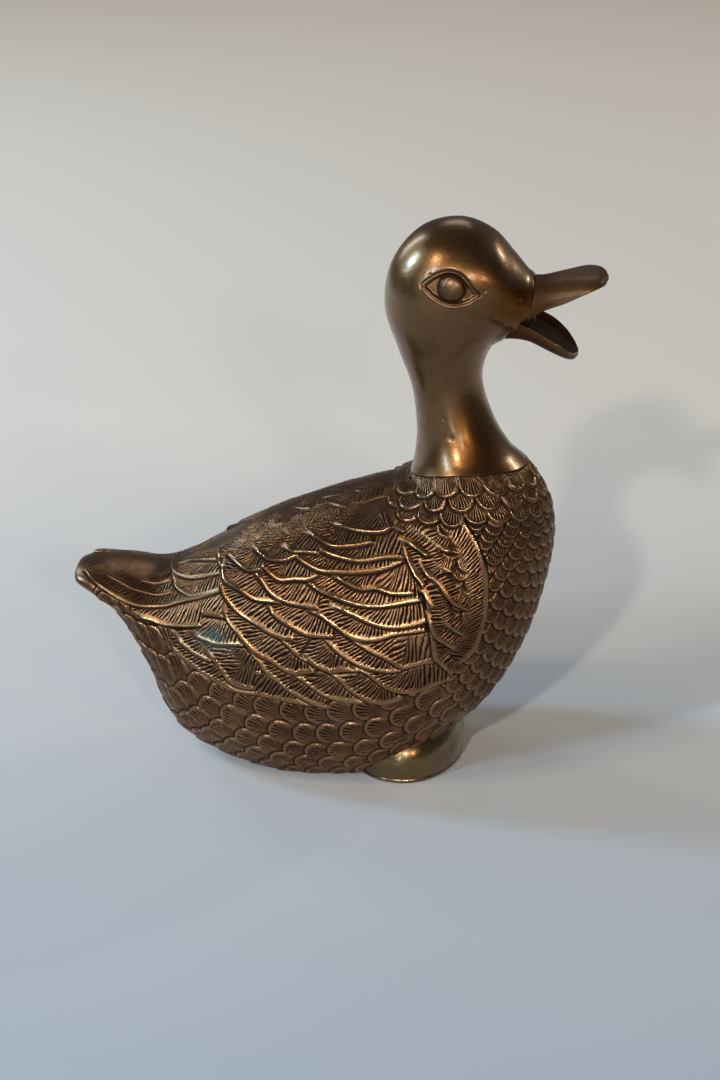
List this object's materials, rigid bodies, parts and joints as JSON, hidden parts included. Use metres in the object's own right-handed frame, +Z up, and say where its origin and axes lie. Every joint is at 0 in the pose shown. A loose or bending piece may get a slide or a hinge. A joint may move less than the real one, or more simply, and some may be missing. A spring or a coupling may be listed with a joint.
{
  "type": "duck figurine",
  "caption": "Hollow cast duck ornament, seated, with a raised neck, open bill, eye beads and chased feathers, standing on its belly rim and a front pad",
  "frame": {"origin": "on the table, under the middle of the figurine's length and width", "axes": "+X towards the bill, +Y to the duck's left, +Z up"},
  "size_m": [0.197, 0.0996, 0.2082],
  "materials": {
    "feathered_bronze": "aged cast bronze, chased feathers polished on their ridges with dark brown patina in the recesses",
    "smooth_bronze": "aged bronze rubbed smooth, brown with warm golden areas and small casting pits",
    "eye_bronze": "rubbed smooth bronze bead",
    "pad_bronze": "smooth polished bronze, brighter along its rim"
  },
  "bodies": {
    "root": {"body_shell": "feathered_bronze", "neck_head": "smooth_bronze", "upper_bill": "smooth_bronze", "lower_bill": "smooth_bronze", "right_eye": "eye_bronze", "left_eye": "eye_bronze", "front_pad": "pad_bronze"}
  },
  "joints": []
}
